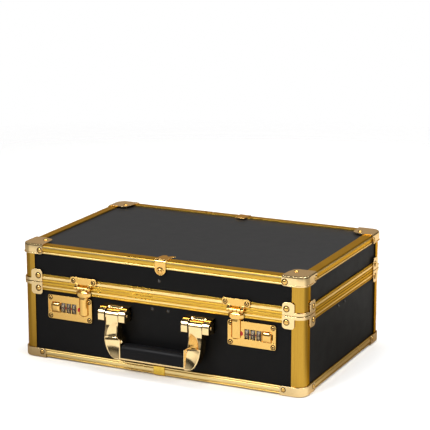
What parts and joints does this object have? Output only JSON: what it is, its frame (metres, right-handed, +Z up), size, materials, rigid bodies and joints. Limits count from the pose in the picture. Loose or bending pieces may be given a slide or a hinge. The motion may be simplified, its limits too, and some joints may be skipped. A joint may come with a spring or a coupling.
{
  "type": "poker chip case",
  "caption": "Hard carrying case for poker chips: black panels in gold aluminium rails, corner caps, combination latches with hasps, drop handle on the front, chip tray inside.",
  "frame": {"origin": "centre of the whole closed case's footprint, at the undersides of the corner caps", "axes": "+X to the right along the long side as seen from the front, +Y towards the hinge at the back, +Z up; the handle and latches face -Y"},
  "size_m": [0.4032, 0.2938, 0.154],
  "materials": {
    "rail_gold": "satin anodised gold",
    "fitting_gold": "polished pale gold plating",
    "black_panel": "fine grained black laminate",
    "grip_black": "satin black moulded grip",
    "dial_black": "dark moulded number dial",
    "tray_flock": "black flocked moulding",
    "liner_foam": "dark foam"
  },
  "bodies": {
    "base": {"base_floor_panel": "black_panel", "base_front_panel": "black_panel", "base_back_panel": "black_panel", "base_left_panel": "black_panel", "base_right_panel": "black_panel", "base_bottom_rail": "rail_gold", "base_rim_rail": "rail_gold", "base_post_back_right": "rail_gold", "base_post_back_left": "rail_gold", "base_post_front_left": "rail_gold", "base_post_front_right": "rail_gold", "bottom_cap_back_right": "fitting_gold", "bottom_cap_back_left": "fitting_gold", "bottom_cap_front_left": "fitting_gold", "bottom_cap_front_right": "fitting_gold", "base_bracket_back_right": "fitting_gold", "base_bracket_back_left": "fitting_gold", "base_bracket_front_left": "fitting_gold", "base_bracket_front_right": "fitting_gold", "latch_plate_left": "fitting_gold", "latch_plate_right": "fitting_gold", "handle_mount_left": "fitting_gold", "handle_mount_right": "fitting_gold", "hinge_base_leaf": "rail_gold", "chip_tray": "tray_flock"},
    "lid": {"lid_top_panel": "black_panel", "lid_front_panel": "black_panel", "lid_back_panel": "black_panel", "lid_left_panel": "black_panel", "lid_right_panel": "black_panel", "lid_top_rail": "rail_gold", "lid_rim_rail": "rail_gold", "lid_post_back_right": "rail_gold", "lid_post_back_left": "rail_gold", "lid_post_front_left": "rail_gold", "lid_post_front_right": "rail_gold", "top_cap_back_right": "fitting_gold", "top_cap_back_left": "fitting_gold", "top_cap_front_left": "fitting_gold", "top_cap_front_right": "fitting_gold", "lid_bracket_back_right": "fitting_gold", "lid_bracket_back_left": "fitting_gold", "lid_bracket_front_left": "fitting_gold", "lid_bracket_front_right": "fitting_gold", "hasp_bracket_left": "fitting_gold", "hasp_bracket_right": "fitting_gold", "hinge_lid_leaf": "rail_gold", "lid_foam_liner": "liner_foam"},
    "handle": {"handle_frame": "fitting_gold", "handle_grip": "grip_black"},
    "hasp_left": {"hasp_left": "fitting_gold"},
    "hasp_right": {"hasp_right": "fitting_gold"},
    "button_left": {"latch_button_left": "fitting_gold"},
    "button_right": {"latch_button_right": "fitting_gold"},
    "wheel_left_1": {"dial_left_1": "dial_black"},
    "wheel_left_2": {"dial_left_2": "dial_black"},
    "wheel_left_3": {"dial_left_3": "dial_black"},
    "wheel_right_1": {"dial_right_1": "dial_black"},
    "wheel_right_2": {"dial_right_2": "dial_black"},
    "wheel_right_3": {"dial_right_3": "dial_black"}
  },
  "joints": [
    {"name": "carry_handle_swing", "type": "hinge", "parent": "base", "child": "handle", "pos_m": [0, -0.13525, 0.0764], "axis": [-1, 0, 0], "range_deg": [0, 95]},
    {"name": "case_lid_hinge", "type": "hinge", "parent": "base", "child": "lid", "pos_m": [0, 0.14365, 0.1036], "axis": [-1, 0, 0], "range_deg": [0, 100]},
    {"name": "hasp_left_swing", "type": "hinge", "parent": "lid", "child": "hasp_left", "pos_m": [-0.1082, -0.12905, 0.1026], "axis": [-1, 0, 0], "range_deg": [0, 110]},
    {"name": "hasp_right_swing", "type": "hinge", "parent": "lid", "child": "hasp_right", "pos_m": [0.1082, -0.12905, 0.1026], "axis": [-1, 0, 0], "range_deg": [0, 110]},
    {"name": "latch_button_left_slide", "type": "slide", "parent": "base", "child": "button_left", "axis": [-1, 0, 0], "range_m": [0, 0.0035], "stiffness_N_per_m": 200},
    {"name": "latch_button_right_slide", "type": "slide", "parent": "base", "child": "button_right", "axis": [1, 0, 0], "range_m": [0, 0.0035], "stiffness_N_per_m": 200},
    {"name": "wheel_left_1", "type": "hinge", "parent": "base", "child": "wheel_left_1", "pos_m": [-0.139, -0.11995, 0.0725], "axis": [1, 0, 0], "continuous": true},
    {"name": "wheel_left_2", "type": "hinge", "parent": "base", "child": "wheel_left_2", "pos_m": [-0.131, -0.11995, 0.0725], "axis": [1, 0, 0], "continuous": true},
    {"name": "wheel_left_3", "type": "hinge", "parent": "base", "child": "wheel_left_3", "pos_m": [-0.123, -0.11995, 0.0725], "axis": [1, 0, 0], "continuous": true},
    {"name": "wheel_right_1", "type": "hinge", "parent": "base", "child": "wheel_right_1", "pos_m": [0.123, -0.11995, 0.0725], "axis": [1, 0, 0], "continuous": true},
    {"name": "wheel_right_2", "type": "hinge", "parent": "base", "child": "wheel_right_2", "pos_m": [0.131, -0.11995, 0.0725], "axis": [1, 0, 0], "continuous": true},
    {"name": "wheel_right_3", "type": "hinge", "parent": "base", "child": "wheel_right_3", "pos_m": [0.139, -0.11995, 0.0725], "axis": [1, 0, 0], "continuous": true}
  ]
}
